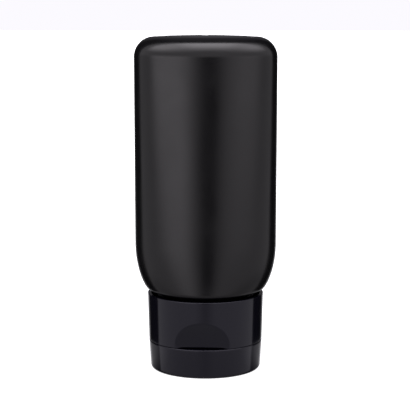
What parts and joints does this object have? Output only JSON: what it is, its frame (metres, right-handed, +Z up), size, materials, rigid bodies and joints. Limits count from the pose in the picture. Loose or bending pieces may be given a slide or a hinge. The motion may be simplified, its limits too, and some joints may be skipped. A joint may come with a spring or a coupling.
{
  "type": "shaving cream squeeze bottle",
  "caption": "Squeeze bottle for shaving cream that stands upside-down on a wide round flip-top closure with a thumb recess.",
  "frame": {"origin": "centre of the lid's standing face, which is the bottom centre of the object's box", "axes": "+Z up along the bottle's axis, from the lid to the closed end; -Y is the front, with the thumb recess; the lid's hinge is at +Y; +X to the right"},
  "size_m": [0.06, 0.049, 0.141],
  "materials": {
    "bottle_plastic": "satin",
    "closure_plastic": "satin",
    "sealing_foam": "matte"
  },
  "bodies": {
    "bottle": {"bottle": "bottle_plastic"},
    "ring": {"sealing_ring": "sealing_foam"},
    "closure": {"cap_base": "closure_plastic", "hinge_film_left": "closure_plastic", "hinge_film_right": "closure_plastic", "hinge_strap": "closure_plastic"},
    "lid": {"lid": "closure_plastic"}
  },
  "joints": [
    {"name": "closure_lift", "type": "slide", "parent": "bottle", "child": "ring", "axis": [0, 0, -1], "range_m": [0, 0.0064]},
    {"name": "closure_turn", "type": "hinge", "parent": "ring", "child": "closure", "pos_m": [0, 0, 0.0246], "axis": [0, 0, -1], "range_deg": [0, 540]},
    {"name": "lid_hinge", "type": "hinge", "parent": "closure", "child": "lid", "pos_m": [0, 0.0231, 0.0124], "axis": [1, 0, 0], "range_deg": [0, 145], "deforming": ["hinge_film_left", "hinge_film_right", "hinge_strap"]}
  ],
  "couplings": [
    {"joint": "closure_lift", "follows": "closure_turn", "m_per_rad": 0.00067375}
  ]
}
